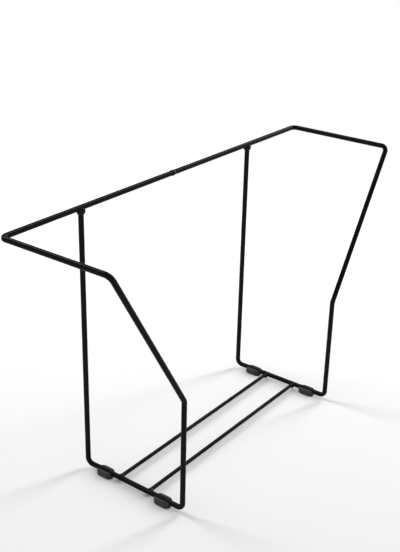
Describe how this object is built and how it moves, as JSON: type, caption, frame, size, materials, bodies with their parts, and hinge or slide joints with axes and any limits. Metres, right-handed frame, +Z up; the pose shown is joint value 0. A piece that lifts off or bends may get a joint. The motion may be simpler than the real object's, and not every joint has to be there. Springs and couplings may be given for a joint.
{
  "type": "record storage stand",
  "caption": "Open rack of thin bent rod that holds a row of records on edge, with flared front legs, side arms, a rear rail and rubber feet.",
  "frame": {"origin": "on the floor, under the middle of the rack's box", "axes": "+X to the right along the rear rail, +Y from the front legs to the back, +Z up"},
  "size_m": [0.348, 0.0963, 0.2143],
  "materials": {
    "black_rod": "gloss black powder coat on round steel rod",
    "black_weld": "the same gloss black coat, over a dressed weld",
    "black_rubber": "matt moulded black rubber"
  },
  "bodies": {
    "root": {"left_frame_rod": "black_rod", "right_frame_rod": "black_rod", "front_cross_rod": "black_rod", "rear_cross_rod": "black_rod", "rail_ring_weld": "black_weld", "left_upright_weld": "black_weld", "right_upright_weld": "black_weld", "front_left_cross_weld": "black_weld", "front_right_cross_weld": "black_weld", "rear_left_cross_weld": "black_weld", "rear_right_cross_weld": "black_weld", "front_left_foot": "black_rubber", "front_right_foot": "black_rubber", "rear_left_foot": "black_rubber", "rear_right_foot": "black_rubber"}
  },
  "joints": []
}
